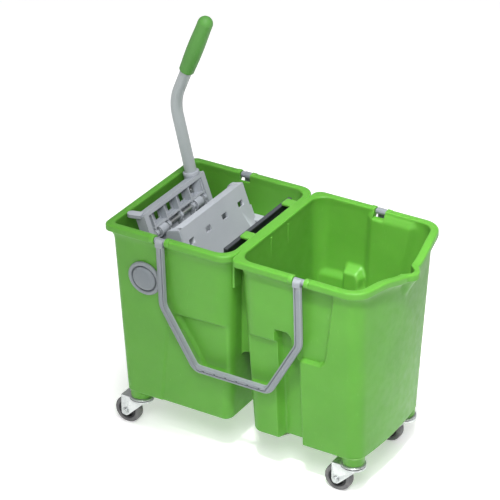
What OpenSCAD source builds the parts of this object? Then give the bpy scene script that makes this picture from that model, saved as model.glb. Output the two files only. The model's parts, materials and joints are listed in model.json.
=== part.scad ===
// Twin mop bucket on four swivel castors, with two carrying bails and a lever press wringer.
// Millimetres. +X runs from the wringer tub to the rinse tub and +Z is up. The modules measure X
// from the divider between the tubs, and home() moves each piece so that the origin lies on the
// floor under the middle of the whole bucket.

/* [Tubs] */
// Height of the rim above the floor
rim_h = 420; // [400:1:440]
// Height of the tub floors' underside above the floor
base_h = 76; // [70:1:84]
// Half width of the tubs' side walls just under the rim
top_hy = 137; // [130:1:142]
// Half width of the tubs' side walls at the base
base_hy = 112; // [106:1:118]
// Wall thickness of the moulding
wall = 3.5; // [3:0.1:4.5]
// Depth of the rim flange
rim_d = 12; // [11:1:14]
// How far the rim flange stands out from the wall
rim_w = 10; // [9:0.5:12]
// How far the rim dips at the pouring lip
lip_dip = 16; // [8:1:20]

/* [Bails] */
// Distance of each bail knuckle from the middle of the bucket
knuckle_x = 134.5; // [130:0.5:138]
// Width of the bail's channel section
bail_w = 15.5; // [14:0.5:18]
// Thickness of the bail's channel section
bail_t = 8; // [7:0.5:9]
// Drop from the bail's hinge to the middle of its grip bar
bail_drop = 233; // [220:1:240]
// Half length of the grip bar
grip_hx = 72; // [60:1:80]

/* [Wringer] */
// Lean of both jaws away from the rinse tub, in degrees
lean = 20; // [18:1:22]
// Height of the jaw pivot above the floor
pivot_z = 302; // [300:1:306]
// Half length of the fixed jaw
jaw_hy = 104; // [100:1:106]
// Diameter of the lever tube
lever_d = 21; // [19:0.5:22]
// Length of the grip on the lever
grip_len = 118; // [100:1:124]

/* [Castors] */
// Diameter of the castor wheels
wheel_d = 50; // [48:1:52]
// Width of the castor tyres
tyre_w = 17; // [15:1:18]
// Trail of the wheel axle behind the castor's swivel axis
trail = 27; // [24:1:28]
// Distance of the wringer tub's swivel axes from the divider
castor_left = 212; // [208:1:213]
// Distance of the rinse tub's swivel axes from the divider
castor_right = 215; // [210:1:217]
// Distance of the swivel axes from the middle, across the bucket
castor_y = 91; // [86:1:92]

/* [Hidden] */
$fn = 48;

green = [0.42, 0.68, 0.28];
light_grey = [0.70, 0.73, 0.76];
dark_grey = [0.22, 0.25, 0.27];
zinc = [0.72, 0.75, 0.74];
black = [0.06, 0.06, 0.07];
tyre_grey = [0.37, 0.37, 0.38];

// Walls of the two tubs: X at the top and at the base
left_end = [-237, -231];
left_inner = [-3, -20];
right_inner = [11, 25];
right_end = [246, 237];
// How far the rinse tub's end bows out, at the top and at the base
end_bow = [14, 6];
// Corner radii of the walls at the top and at the base: outer ends, and beside the divider
corner_left = [18, 16];
corner_mid = [30, 19];
corner_right = [30, 26];
// Bow given to the straight ends, so that one outline serves both tubs
straight = 0.5;
wall_top = rim_h - rim_d;
rim_hy = top_hy + rim_w;
// Slope of the side walls, and their length along that slope
draft = atan((top_hy - base_hy) / (wall_top - base_h));
slope = 1 / cos(draft);
// Pouring lip: radius and reach of its nose, depth of its throat, and the dip's half widths
lip_r = 20;
lip_x = 281;
lip_throat = 66;
dip_out = 95;
dip_mid = 34;
dip_in = 14;
// Rim bosses and notches at the bail knuckles
notch_w = 21;
notch_drop = 9;
boss_w = 9;
rim_boss_r = 7.5;
hinge_y = top_hy + rim_w / 2;
hinge_z = rim_h - 6;
// Bail: knuckle and stub radii, running clearance, where its legs and bends lie, and its lean
knuckle_r = 5.5;
stub_r = 3;
fit = 0.05;
leg_x = knuckle_x - 1.5;
leg_out = 1.5;
bend_drop = 124;
bend_leg_r = 30;
bend_grip_r = 16;
bail_lean = 3.1;
drain_pitch = 22;
// Ledges on which the wringer stands
ledge_z = 350;
ledge_y = 114;
// Round caps in the wringer tub's side walls
cap_x = -173;
cap_z = 328;
cap_r = 32;
cap_neck_r = 19.9;
// Clearance of the caps over the side walls
cap_lift = 0.09;
// Castor parts
boss_r = 17;
boss_z = 62;
crown_z = 54;
crown_t = 3;
stem_r = 5;
axle_r = 4;
axle_z = wheel_d / 2;
fork_y = tyre_w / 2 + 2.4;
fork_t = 2;
cheek_r = 8.5;
rim_r = 17;
// Wringer places
pivot_x = -152;
foot_x = -77;
foot_z = 300;
jaw_h = 128;
jaw_t = 4;
rod_r = 5;
jaw_len = 132;
cell = 39;
cell_ys = [for (i = [0:4]) -75 + i * cell];
hole_ys = [-79.5, -26.5, 26.5, 79.5];
cross_u = 88;
cross_w = -5;
cross_r = 4;
hub_ys = [-57, 57];
hub_r = 10.5;
hub_len = 20;
rail_x = -31;
screw_x = -42;
screw_ys = [-75, -25, 25, 75];
// Place of the pivot in the fixed jaw's own frame
pivot_in_jaw = [(pivot_x - foot_x) * cos(lean) + (pivot_z - foot_z) * sin(lean),
                -(pivot_x - foot_x) * sin(lean) + (pivot_z - foot_z) * cos(lean)];
// Lever: where it leaves its socket, the leans and lengths of its two runs, and its bend
lever_y = 80;
lever_base = [-210, 420];
lever_low = 13.7;
lever_high = 21.8;
low_len = 142;
high_len = 185;
bend_r = 84;
turn = lever_low + lever_high;
tangent = bend_r * tan(turn / 2);
// The bend is a little thicker than the runs, which reach into it by this lap
bend_swell = 0.3;
lap = 1;
sink = 38;
bolt_r = 3;
bolt_z = -20;
// Bolt head and nut: distance from the lever's axis, thickness and corner radius
nut_y = 14.6;
nut_t = 4.4;
nut_r = 5.5;
// X of the middle of the whole bucket: the wheels reach furthest left, the lip furthest right
centre_x = (lip_x - castor_left - trail - wheel_d / 2) / 2;

// X of the swivel axes on the left (-1) or the right (1)
function castor_at(side) = side < 0 ? -castor_left : castor_right;

// Points of an arc, from angle a to angle b
function arc(c, r, a, b, n = 8) =
  [for (i = [0:n]) [c[0] + r * cos(a + (b - a) * i / n), c[1] + r * sin(a + (b - a) * i / n)]];

// Outline of a tub seen from above: r0 rounds the -X corners and r1 the +X corners, and the +X
// end bows out to the apex in an arc that runs smoothly into its corners
function tub_outline(x0, x1, hy, r0, r1, bow) =
  let (apex = x1 + bow, c = [x1 - r1, hy - r1], d = apex - c[0],
       big = (d * d + c[1] * c[1] - r1 * r1) / (2 * (d - r1)), phi = atan2(c[1], big - d))
  concat(arc([x0 + r0, r0 - hy], r0, 180, 270), arc([c[0], -c[1]], r1, -90, -phi),
         arc([apex - big, 0], big, -phi * 0.8, phi * 0.8, 6), arc(c, r1, phi, 90),
         arc([x0 + r0, hy - r0], r0, 90, 180));

// One level of a tub, grown inwards by t. at picks the top (0) or the base (1)
module tub_level(at, xa, xb, hy, ra, rb, bow, t) {
  polygon(tub_outline(xa[at] + t, xb[at] - t, hy - t, ra[at] - t, rb[at] - t, bow));
}

// One drafted tub, grown inwards by t, closed at z0; the inside runs out above the rim
module tub_form(xa, xb, ra, rb, bow, t, z0) {
  hull() {
    translate([0, 0, z0]) linear_extrude(1) tub_level(1, xa, xb, base_hy, ra, rb, bow[1], t);
    translate([0, 0, wall_top - 1]) linear_extrude(t > 0 ? rim_d + 3 : 1)
      tub_level(0, xa, xb, top_hy, ra, rb, bow[0], t);
  }
}

module tubs(t, z0) {
  tub_form(left_end, left_inner, corner_left, corner_mid, [straight, straight], t, z0);
  tub_form(right_inner, right_end, corner_mid, corner_right, end_bow, t, z0);
}

// A prism whose outline lies in the slope of the front wall: x and height above the base
module on_front(pts, inward, outward = 20) {
  translate([0, -base_hy, base_h]) rotate([90 + draft, 0, 0]) translate([0, 0, -inward])
    linear_extrude(inward + outward) polygon([for (p = pts) [p[0], (p[1] - base_h) * slope]]);
}

module both_sides() {
  children();
  mirror([0, 1, 0]) children();
}

// Recesses pressed into the side walls; m grows them to make the inside of the wall
module recesses(m) {
  both_sides() {
    // finger room behind the bail's grip bar
    on_front([[-62 - m, 178 - m], [62 + m, 178 - m], [114 + m, 276 + m], [-114 - m, 270 + m]], 7 + m);
    // channel beside the right bail leg
    on_front([[126 - m, 254 - m], [166, 254 - m], [174 + m, 262], [194 + m, 402], [126 - m, 402]], 8 + m);
    // flute in the rinse tub, from the base up
    on_front([[82 - m, base_h - 12], [124 + m, base_h - 12], [124 + m, 250], [110 + m, 272],
              [110 + m, 290 + m], [104, 298 + m], [82 - m, 298 + m]], 20 + m);
    // shallow panel in the wringer tub
    on_front([[-160 - m, base_h - 12], [-30, base_h - 12], [-30, 240], [-134 - m, 240 + m]], 2 + m);
  }
}

// Line that the rim follows across the rinse tub's end: level, down to the lip and up again
function dip_line(top) = [[-rim_hy - 1, top], [-dip_out, top], [-dip_mid, top - lip_dip * 0.7],
  [-dip_in, top - lip_dip], [dip_in, top - lip_dip], [dip_mid, top - lip_dip * 0.7],
  [dip_out, top], [rim_hy + 1, top]];

function backwards(list) = [for (i = [len(list) - 1:-1:0]) list[i]];

// A slab across the rinse tub's end, between two heights that both follow the dip
module end_slab(low, high) {
  translate([200, 0, 0]) rotate([90, 0, 90]) linear_extrude(lip_x - 180)
    polygon(concat(dip_line(low), backwards(dip_line(high))));
}

module rim() {
  // wringer tub
  translate([0, 0, wall_top]) linear_extrude(rim_d)
    polygon(tub_outline(left_end[0] - rim_w, 11, rim_hy, 22, 36, straight));
  // rinse tub with the nose of its lip, cut to the dipping line
  intersection() {
    translate([0, 0, wall_top - lip_dip - 1]) linear_extrude(rim_d + lip_dip + 1) {
      polygon(tub_outline(7, right_end[0] + rim_w, rim_hy, 12, 38, 15));
      polygon(concat([[250, -38], [264, -38]], arc([lip_x - lip_r, 0], lip_r, -62, 62),
                     [[264, 38], [250, 38]]));
    }
    union() {
      translate([0, -rim_hy - 1, wall_top]) cube([201, 2 * rim_hy + 2, rim_d]);
      end_slab(wall_top, rim_h);
    }
  }
  // raised bosses that carry the bail stubs
  each_knuckle() for (e = [-1, 1])
    translate([e * (notch_w + boss_w) / 2 - boss_w / 2, 0, 0]) rotate([0, 90, 0])
      cylinder(r = rim_boss_r, h = boss_w);
}

module each_knuckle() {
  for (sx = [-1, 1], sy = [-1, 1]) translate([sx * knuckle_x, sy * hinge_y, hinge_z]) children();
}

module each_castor(z) {
  for (sx = [-1, 1], sy = [-1, 1]) translate([castor_at(sx), sy * castor_y, z]) children();
}

// Throat of the pouring lip, grown inwards by t
module lip_form(t) {
  hull() {
    translate([0, 0, rim_h - lip_dip - 6]) linear_extrude(t > 0 ? 20 : 6)
      polygon(concat([[240, t - 44]],
                     arc([lip_x - lip_r - rim_w / 2 - t, 0], lip_r - 2, -70, 70), [[240, 44 - t]]));
    translate([right_end[0] - t, 0, rim_h - lip_throat - 10]) cylinder(r = 8, h = 1, $fn = 32);
  }
}

module twin_tub() {
  color(green) difference() {
    union() {
      difference() {
        tubs(0, base_h);
        recesses(0);
      }
      lip_form(0);
      rim();
      webs();
      each_castor(boss_z) cylinder(r = boss_r, h = base_h - boss_z + 30);
      hanger_tabs();
    }
    difference() {
      union() {
        tubs(wall, base_h + wall);
        lip_form(wall);
      }
      recesses(wall);
      // the castor bosses rise a little inside the tubs, closed on top
      each_castor(base_h) cylinder(r = boss_r + 1, h = 24);
      wringer_ledges();
      hanger_tabs();
    }
    // everything above the dip of the lip
    end_slab(rim_h, rim_h + lip_dip + 2);
    // notches and stub bores of the bails
    each_knuckle() {
      translate([-notch_w / 2, -14, -notch_drop]) cube([notch_w, 28, notch_drop + 20]);
      translate([-notch_w / 2 - 8, 0, 0]) rotate([0, 90, 0])
        cylinder(r = stub_r + fit, h = notch_w + 16);
    }
    // sockets of the castor stems
    each_castor(boss_z - 1) cylinder(r = stem_r, h = 33);
    // seats of the round caps
    for (sy = [-1, 1]) cap_place(sy) translate([0, 0, -8]) cylinder(r = cap_neck_r + 0.1, h = 20);
  }
}

// Webs that join the two tubs inside the gap between them
module webs() {
  both_sides() {
    translate([0, -top_hy + 22, 0]) rotate([90, 0, 0]) linear_extrude(wall)
      polygon([[10, wall_top + 1], [-5, wall_top + 1], [-6, 350], [13, 350]]);
    on_front([[-18, 200], [-8, 192], [4, 189], [16, 192], [28, 200], [28, wall_top], [-18, wall_top]],
             30, -26);
  }
  translate([-10, -30, 352]) cube([26, wall, wall_top - 350]);
  translate([-10, 30 - wall, 352]) cube([26, wall, wall_top - 350]);
}

// Ledges inside the wringer tub that the fixed jaw's feet stand on
module wringer_ledges() {
  both_sides() translate([-126, -top_hy, ledge_z - 16]) cube([84, top_hy - ledge_y, 16]);
}

// Tabs of the divider that reach over the hanger frame's rail
module hanger_tabs() {
  for (y = [-66, 72]) translate([-25, y, rim_h - 5]) cube([24, 22, 4]);
}

// Place on a side wall of the wringer tub, z pointing out of the wall
module cap_place(sy) {
  translate([cap_x, sy * (base_hy + (cap_z - base_h) * tan(draft)), cap_z])
    rotate([-sy * (90 + draft), 0, 0]) children();
}

// Round snap-in cap: a rounded flange ring with a dome inside it, on a hollow neck
module cap(sy) {
  dome_r = cap_r - 8;
  color(light_grey) cap_place(sy) difference() {
    union() {
      rotate_extrude($fn = 64) polygon(concat(
        [[0, cap_lift], [cap_r, cap_lift], [cap_r, 3]], arc([cap_r - 2.5, 3], 2.5, 0, 90, 4),
        [[dome_r + 1.5, 5.5], [dome_r, 4]],
        [for (i = [0:8]) [(dome_r - 0.5) * cos(i * 11.25), 4 + 5.5 * sin(i * 11.25)]]));
      translate([0, 0, -7]) cylinder(r = cap_neck_r, h = 8);
    }
    translate([0, 0, -8]) cylinder(r = cap_neck_r - 3, h = 9);
  }
}

// One edge of half a bail, from the knuckle to the middle, o away from the middle of the bar
function bail_edge(o, top) =
  let (t = atan2(leg_x - grip_hx, bail_drop - bend_drop))
  concat([[leg_x + o, -top]],
         arc([leg_x - bend_leg_r, bend_leg_r * tan(t / 2) - bend_drop], bend_leg_r + o, 0, -t),
         arc([grip_hx - bend_grip_r * tan((90 - t) / 2), bend_grip_r - bail_drop],
             bend_grip_r + o, -t, -90));

function mirrored(list) = [for (p = list) [-p[0], p[1]]];

// Flat closed outline of the bail, w wide, standing outwards from y by t
module bail_plate(w, top, y, t) {
  translate([0, -y, 0]) rotate([90, 0, 0]) linear_extrude(t)
    polygon(concat(bail_edge(w / 2, top), mirrored(backwards(bail_edge(w / 2, top))),
                   mirrored(bail_edge(-w / 2, top)), backwards(bail_edge(-w / 2, top))));
}

// Bail: stored hanging outside the side wall. sy is the side, -1 front and 1 back
module bail(sy) {
  color(light_grey) translate([0, sy * hinge_y, hinge_z]) mirror([0, sy > 0 ? 1 : 0, 0]) {
    for (sx = [-1, 1]) {
      translate([sx * knuckle_x - notch_w / 2 + 0.5, 0, 0]) rotate([0, 90, 0])
        cylinder(r = knuckle_r, h = notch_w - 1);
      translate([sx * knuckle_x - notch_w / 2 - 7, 0, 0]) rotate([0, 90, 0])
        cylinder(r = stub_r, h = notch_w + 14);
      // neck from the knuckle over the edge of the rim
      translate([sx * leg_x - bail_w / 2, -leg_out - 4, -knuckle_r]) cube([bail_w, leg_out + 4, 7]);
    }
    rotate([bail_lean, 0, 0]) difference() {
      bail_plate(bail_w, 4, leg_out, bail_t);
      // hollow of the channel section, open towards the tub
      bail_plate(bail_w - 5, 12, leg_out - 2, bail_t - 1);
      // drain holes along the grip bar
      for (i = [-2.5:1:2.5]) translate([i * drain_pitch, -30, -bail_drop]) rotate([-90, 0, 0])
        cylinder(r = 2.2, h = 40, $fn = 24);
    }
  }
}

// Local frame of the fixed jaw: x across its thickness, z up its face
module at_fixed() {
  translate([foot_x, 0, foot_z]) rotate([0, -lean, 0]) children();
}

// Section of the fixed jaw's turned-over end: a hook that rises a little above the top flange
function jaw_hook() = concat([[0, jaw_h - 34], [0, jaw_h]], arc([-20, jaw_h - 8], 10, 70, 180),
  [[-30, jaw_h - 20], [-26, jaw_h - 20]], arc([-20, jaw_h - 8], 6, 180, 90),
  [[-jaw_t, jaw_h - 5], [-jaw_t, jaw_h - 34]]);

module fixed_jaw() {
  color(light_grey) {
    at_fixed() {
      difference() {
        union() {
          translate([-jaw_t, -jaw_hy, 0]) cube([jaw_t, 2 * jaw_hy, jaw_h]);
          // top flange with its turned-down lip, and the hooked ends
          translate([-20, -jaw_hy, jaw_h - jaw_t]) cube([20, 2 * jaw_hy, jaw_t]);
          translate([-20, -jaw_hy, jaw_h - 12]) cube([3, 2 * jaw_hy, 10]);
          for (s = [-1, 1]) translate([0, s * (jaw_hy - 5) + 5, 0]) rotate([90, 0, 0])
            linear_extrude(10) polygon(jaw_hook());
          // pressing ribs
          for (y = [-94:23.5:94]) translate([-jaw_t - 7, y - 1.5, 6]) cube([8, 3, jaw_h - 14]);
        }
        // drain holes
        for (y = hole_ys) translate([-24, y - 8, 92]) cube([40, 16, 11]);
      }
      // end cheeks that carry the pivot rod
      for (s = [-1, 1]) difference() {
        translate([0, s * (jaw_hy + 2) + 2, 0]) rotate([90, 0, 0]) linear_extrude(4)
          polygon(concat([[0, -2], [0, 84], [-8, 84]], arc(pivot_in_jaw, 12, 70, 250, 12),
                         [[-20, -14]]));
        translate([pivot_in_jaw[0], s * (jaw_hy + 2), pivot_in_jaw[1]]) rotate([90, 0, 0])
          cylinder(r = rod_r, h = 10, center = true);
      }
    }
    // foot that sweeps towards the divider, with its screw holes
    difference() {
      translate([0, jaw_hy, 0]) rotate([90, 0, 0]) linear_extrude(2 * jaw_hy)
        polygon(concat([[foot_x - jaw_t, foot_z], [foot_x, foot_z + 1]],
                       arc([foot_x + 22, foot_z + 1], 22, 188, 250),
                       [[-34, foot_z - 20], [-34, foot_z - 24]],
                       arc([foot_x + 22, foot_z + 1], 26, 255, 180)));
      at_screws(foot_z - 30) cylinder(r = 2.6, h = 20);
    }
    // the two feet that stand on the ledges
    for (s = [-1, 1]) translate([-112, s < 0 ? -jaw_hy - 17 : jaw_hy, ledge_z]) cube([36, 17, 5]);
  }
}

module at_screws(z) {
  for (y = screw_ys) translate([screw_x, y, z]) children();
}

// Frame behind the fixed jaw: top rail, open back and the plate that the jaw's foot is screwed to
module hanger_frame() {
  rail_z = rim_h - 9.5;
  color(dark_grey) difference() {
    union() {
      translate([rail_x, -108, foot_z - 20]) cube([3, 216, rail_z + 3 - foot_z + 20]);
      translate([rail_x, -108, rail_z]) cube([7, 216, 3]);
      translate([-52, -100, foot_z - 19]) cube([21, 200, 2.5]);
    }
    for (y = [-96:66:40]) translate([rail_x - 9, y, foot_z + 6]) cube([20, 58, 82]);
    at_screws(foot_z - 30) cylinder(r = 2.6, h = 20);
  }
}

// Bolts, nuts included, of the jaw's foot
module hanger_screws() {
  color(zinc) {
    at_screws(foot_z - 16.5) cylinder(r = 4.5, h = 2.5);
    at_screws(foot_z - 28) cylinder(r = 2.5, h = 12);
    at_screws(foot_z - 27.5) cylinder(r = 4.5, h = 3.4, $fn = 6);
  }
}

module pivot_rod() {
  color(zinc) translate([pivot_x, 0, pivot_z]) rotate([90, 0, 0])
    cylinder(r = rod_r, h = 2 * jaw_hy + 18, center = true);
}

// Push-on clips that hold the rod's ends
module rod_clips() {
  color(zinc) for (s = [-1, 1]) translate([pivot_x, s * (jaw_hy + 5.5), pivot_z])
    rotate([90, 0, 0]) difference() {
      cylinder(r = 8.5, h = 1.6, center = true);
      cylinder(r = rod_r, h = 4, center = true);
    }
}

// Local frame of the moving jaw: origin on the pivot, z up the jaw, x towards the fixed jaw
module at_moving() {
  translate([pivot_x, 0, pivot_z]) rotate([0, -lean, 0]) children();
}

module moving_jaw() {
  plate_t = 3;
  depth = 16;
  shelf_u = 98;
  near_y = -78;
  width = 162;
  color(light_grey) difference() {
    union() {
      at_moving() {
        // back plate: closed above the middle shelf, slats below it
        translate([-depth, near_y, shelf_u]) cube([plate_t, width, 32]);
        for (y = cell_ys) if (y < 80) translate([-depth, y + 8, 12]) slat();
        // bars and ribs
        translate([-18, -94, jaw_len - 7]) cube([19, 190, 7]);
        translate([-14, near_y, shelf_u]) cube([14, width, plate_t]);
        translate([-depth, near_y, 10]) cube([depth, width, 4]);
        for (y = cell_ys) translate([-14, y - 1.5, 10]) cube([14, 3, jaw_len - 12]);
        // end cheeks with the hinge eyes
        for (y = [-84, 97]) cheek(y);
        // bosses that hold the cross rod
        for (y = cell_ys) translate([cross_w, y, cross_u]) rotate([90, 0, 0])
          cylinder(r = 7, h = 6, center = true);
      }
      jaw_ear();
      at_lever() translate([0, 0, -sink - 4]) cylinder(r = lever_d / 2 + 4, h = sink + 8);
    }
    at_moving() {
      translate([0, 110, 0]) rotate([90, 0, 0]) cylinder(r = rod_r + fit, h = 220);
      translate([cross_w, 110, cross_u]) rotate([90, 0, 0]) cylinder(r = cross_r, h = 220);
      for (y = hub_ys) translate([cross_w, y, cross_u]) rotate([90, 0, 0])
        cylinder(r = hub_r + fit, h = hub_len + 2 * fit, center = true);
      // drain openings of the upper cells
      for (y = cell_ys) if (y < 80) translate([-20, y + 22, 104]) cube([10, 13, 18]);
    }
    // bore of the lever and its cross bolt
    at_lever() {
      translate([0, 0, -sink]) cylinder(r = lever_d / 2, h = sink + 20);
      translate([0, 20, bolt_z]) rotate([90, 0, 0]) cylinder(r = bolt_r, h = 40);
      // seats of the bolt's head and nut
      for (y = [22, fit - nut_y]) translate([0, y, bolt_z]) rotate([90, 0, 0])
        cylinder(r = nut_r + 0.5, h = 22 - nut_y + fit);
    }
  }
}

// Channel-shaped slat of the moving jaw's back
module slat() {
  difference() {
    cube([8, 24, 88]);
    translate([-3, -1, -1]) cube([6, 26, 90]);
  }
}

module cheek(y) {
  translate([0, y, 0]) rotate([90, 0, 0]) linear_extrude(13)
    polygon(concat([[1, jaw_len - 2], [1, 40]], arc([0, 0], 11, 20, -200, 14),
                   [[-18, 60], [-18, jaw_len - 2]]));
}

// Level oval ear that reaches out from the near end of the top bar
module jaw_ear() {
  translate([-206, -94, rim_h - 1]) rotate([0, 0, 15]) linear_extrude(6) {
    translate([-14, -8]) square([18, 16]);
    translate([-14, 0]) circle(8, $fn = 32);
  }
}

// Local frame of the lever: origin where the tube leaves its socket, z along the lower tube
module at_lever() {
  translate([lever_base[0], lever_y, lever_base[1]]) rotate([0, -lever_low, 0]) children();
}

// Bent lever tube: lower run, bend and upper run, with the hole of its bolt
module lever_tube() {
  color(light_grey) at_lever() difference() {
    union() {
      translate([0, 0, -sink]) cylinder(r = lever_d / 2, h = low_len - tangent + sink + lap);
      translate([bend_r, 0, low_len - tangent]) rotate([90, 0, 0]) rotate([0, 0, 180 - turn])
        rotate_extrude(angle = turn) translate([bend_r, 0]) circle(lever_d / 2 + bend_swell);
      at_grip(-lap) cylinder(r = lever_d / 2, h = high_len - tangent - 8);
    }
    translate([0, 20, bolt_z]) rotate([90, 0, 0]) cylinder(r = bolt_r, h = 40);
  }
}

// Along the upper run, d from the end of the bend
module at_grip(d) {
  translate([bend_r * (1 - cos(turn)), 0, low_len - tangent + bend_r * sin(turn)])
    rotate([0, turn, 0]) translate([0, 0, d]) children();
}

module lever_grip() {
  grip_r = 13.6;
  ribs = [for (i = [0:8]) [grip_r + 1.1 * sin(i * 22.5), 8 + i * (grip_len - 34) / 8]];
  color(green) at_lever() at_grip(high_len - tangent - grip_len) difference() {
    rotate_extrude($fn = 64) polygon(concat(
      [[0, 0], [12.2, 0], [13.4, 1.6]], ribs, arc([0, grip_len - grip_r], grip_r, 0, 90, 10)));
    translate([0, 0, -1]) cylinder(r = lever_d / 2, h = grip_len - 7);
  }
}

module lever_bolt() {
  color(zinc) at_lever() translate([0, 0, bolt_z]) rotate([90, 0, 0]) {
    translate([0, 0, -nut_y - nut_t]) cylinder(r = bolt_r, h = 2 * nut_y + nut_t + 1);
    translate([0, 0, nut_y]) cylinder(r = nut_r, h = nut_t, $fn = 6);
  }
}

module lever_nut() {
  color(zinc) at_lever() translate([0, nut_y + nut_t, bolt_z]) rotate([90, 0, 0]) difference() {
    cylinder(r = nut_r, h = nut_t, $fn = 6);
    translate([0, 0, -1]) cylinder(r = bolt_r, h = 8);
  }
}

module cross_rod() {
  color(zinc) at_moving() translate([cross_w, 96, cross_u]) rotate([90, 0, 0])
    cylinder(r = cross_r, h = 192);
}

module rod_hubs() {
  color(light_grey) at_moving() for (y = hub_ys) translate([cross_w, y, cross_u])
    rotate([90, 0, 0]) difference() {
      cylinder(r = hub_r, h = hub_len, center = true);
      cylinder(r = cross_r, h = 30, center = true);
      translate([0, 0, 10]) rotate_extrude() translate([7.2, 0]) square([1.6, 3], center = true);
    }
}

// Castor parts: origin on the floor under the swivel axis, wheel trailing towards -X
module cylinder_at(z, r, h) {
  translate([0, 0, z]) cylinder(r = r, h = h);
}

module at_axle() {
  translate([-trail, 0, axle_z]) rotate([90, 0, 0]) children();
}

// Stem pressed into the tub, with the head that holds the fork
module castor_stem() {
  color(zinc) {
    cylinder_at(crown_z - 1, stem_r, boss_z - crown_z + 33);
    cylinder_at(crown_z - 3.4, 9, 3);
  }
}

module castor_race() {
  low = crown_z + crown_t + 0.3;
  color(zinc) difference() {
    rotate_extrude($fn = 64)
      polygon([[0, low], [19, low], [22, low + 1.6], [22, low + 3], [19, boss_z], [0, boss_z]]);
    cylinder_at(crown_z, stem_r, 12);
  }
}

module castor_fork() {
  top = crown_z + crown_t;
  color(zinc) difference() {
    union() {
      cylinder_at(crown_z, 22, crown_t);
      translate([-trail - cheek_r, -fork_y - fork_t, crown_z])
        cube([trail + cheek_r + 2, 2 * (fork_y + fork_t), crown_t]);
      for (s = [-1, 1]) translate([0, s * (fork_y + fork_t / 2) + fork_t / 2, 0])
        rotate([90, 0, 0]) linear_extrude(fork_t)
          polygon(concat([[-trail - cheek_r, top], [9, top], [9, crown_z - 5]],
                         arc([-trail, axle_z], cheek_r, -42, -175)));
    }
    cylinder_at(crown_z - 1, stem_r + fit, 8);
    at_axle() cylinder(r = axle_r, h = 60, center = true);
  }
}

module castor_axle() {
  out = fork_y + fork_t;
  color(zinc) at_axle() {
    cylinder(r = axle_r, h = 2 * out + 8, center = true);
    translate([0, 0, out]) cylinder(r = 6.2, h = 3.2, $fn = 32);
    translate([0, 0, -out - 3.6]) cylinder(r = 6.8, h = 3.6, $fn = 6);
  }
}

module castor_hub() {
  w = tyre_w / 2;
  color(black) at_axle() difference() {
    rotate_extrude($fn = 64) polygon(
      [[0, -w - 1.6], [7, -w - 1.6], [7, -3], [14, -3], [14, 1 - w], [rim_r, 1 - w],
       [rim_r, w - 1], [14, w - 1], [14, 3], [7, 3], [7, w + 1.6], [0, w + 1.6]]);
    cylinder(r = axle_r + fit, h = 40, center = true);
  }
}

module castor_tyre() {
  w = tyre_w / 2;
  r = wheel_d / 2 - 4;
  color(tyre_grey) at_axle() rotate_extrude($fn = 96)
    polygon(concat([[rim_r, 1 - w], [rim_r + 1, -w]], arc([r, 4 - w], 4, -90, 0, 5),
                   arc([r, w - 4], 4, 0, 90, 5), [[rim_r + 1, w], [rim_r, w - 1]]));
}

module castor(piece) {
  if (piece == "stem") castor_stem();
  if (piece == "race") castor_race();
  if (piece == "fork") castor_fork();
  if (piece == "axle") castor_axle();
  if (piece == "hub") castor_hub();
  if (piece == "tyre") castor_tyre();
}

// Moves a piece so that the origin lies under the middle of the whole bucket
module home() {
  translate([-centre_x, 0, 0]) children();
}

home() twin_tub();
home() cap(-1);  // cap_front
home() cap(1);  // cap_back
home() bail(-1);  // bail_front
home() bail(1);  // bail_back
home() fixed_jaw();
home() hanger_frame();
home() hanger_screws();
home() pivot_rod();
home() rod_clips();
home() moving_jaw();
home() cross_rod();
home() rod_hubs();
home() lever_tube();
home() lever_grip();
home() lever_bolt();
home() lever_nut();
for (c = [["front_left", -1, -1], ["front_right", 1, -1], ["back_left", -1, 1], ["back_right", 1, 1]])
  for (piece = ["stem", "race", "fork", "axle", "hub", "tyre"])
    home() translate([castor_at(c[1]), c[2] * castor_y, 0]) castor(piece);
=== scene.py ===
"""Looks of a twin mop bucket: two drafted tubs in one moulding, two carrying bails, a lever press
wringer and four swivel castors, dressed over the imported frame.

Sizes are in millimetres and X is measured from the divider between the tubs, as in the part's own
source; Bench turns them into metres in the shared frame.
"""

import json
import logging
import math
from dataclasses import dataclass, field
from enum import Enum

import bmesh
import bpy
import numpy as np
from mathutils import Matrix, Vector

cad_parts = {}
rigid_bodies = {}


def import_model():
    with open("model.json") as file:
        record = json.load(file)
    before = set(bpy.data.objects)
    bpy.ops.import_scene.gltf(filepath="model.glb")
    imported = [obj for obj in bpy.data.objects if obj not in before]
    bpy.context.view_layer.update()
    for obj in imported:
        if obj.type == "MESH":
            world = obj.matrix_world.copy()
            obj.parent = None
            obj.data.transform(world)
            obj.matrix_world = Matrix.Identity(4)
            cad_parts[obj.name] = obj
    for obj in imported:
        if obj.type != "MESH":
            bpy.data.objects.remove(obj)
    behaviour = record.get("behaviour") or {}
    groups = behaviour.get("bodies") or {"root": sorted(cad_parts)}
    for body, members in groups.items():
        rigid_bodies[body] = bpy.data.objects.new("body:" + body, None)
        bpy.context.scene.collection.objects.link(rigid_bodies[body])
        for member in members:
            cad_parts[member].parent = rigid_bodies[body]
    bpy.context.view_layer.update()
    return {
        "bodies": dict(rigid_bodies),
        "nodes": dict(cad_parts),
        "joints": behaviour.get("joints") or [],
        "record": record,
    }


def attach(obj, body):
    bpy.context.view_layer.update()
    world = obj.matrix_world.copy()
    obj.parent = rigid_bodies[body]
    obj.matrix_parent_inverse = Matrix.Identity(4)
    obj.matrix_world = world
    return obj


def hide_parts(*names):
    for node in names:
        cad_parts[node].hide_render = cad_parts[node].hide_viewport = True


LOG = logging.getLogger("mop_bucket")
MM = 0.001
MIDDLE_X = 8.5
SLOPE = math.atan(25.0 / 332.0)
FOOT_R, FLOOR_R = 5.0, 7.0
THROAT_Z, THROAT_H = 338.0, 66.0
Point = tuple[float, float, float]
Flat = list[tuple[float, float]]
Faces = list[tuple[int, ...]]
Shape = tuple[list[Point], Faces]
Colour = tuple[float, float, float]


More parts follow.
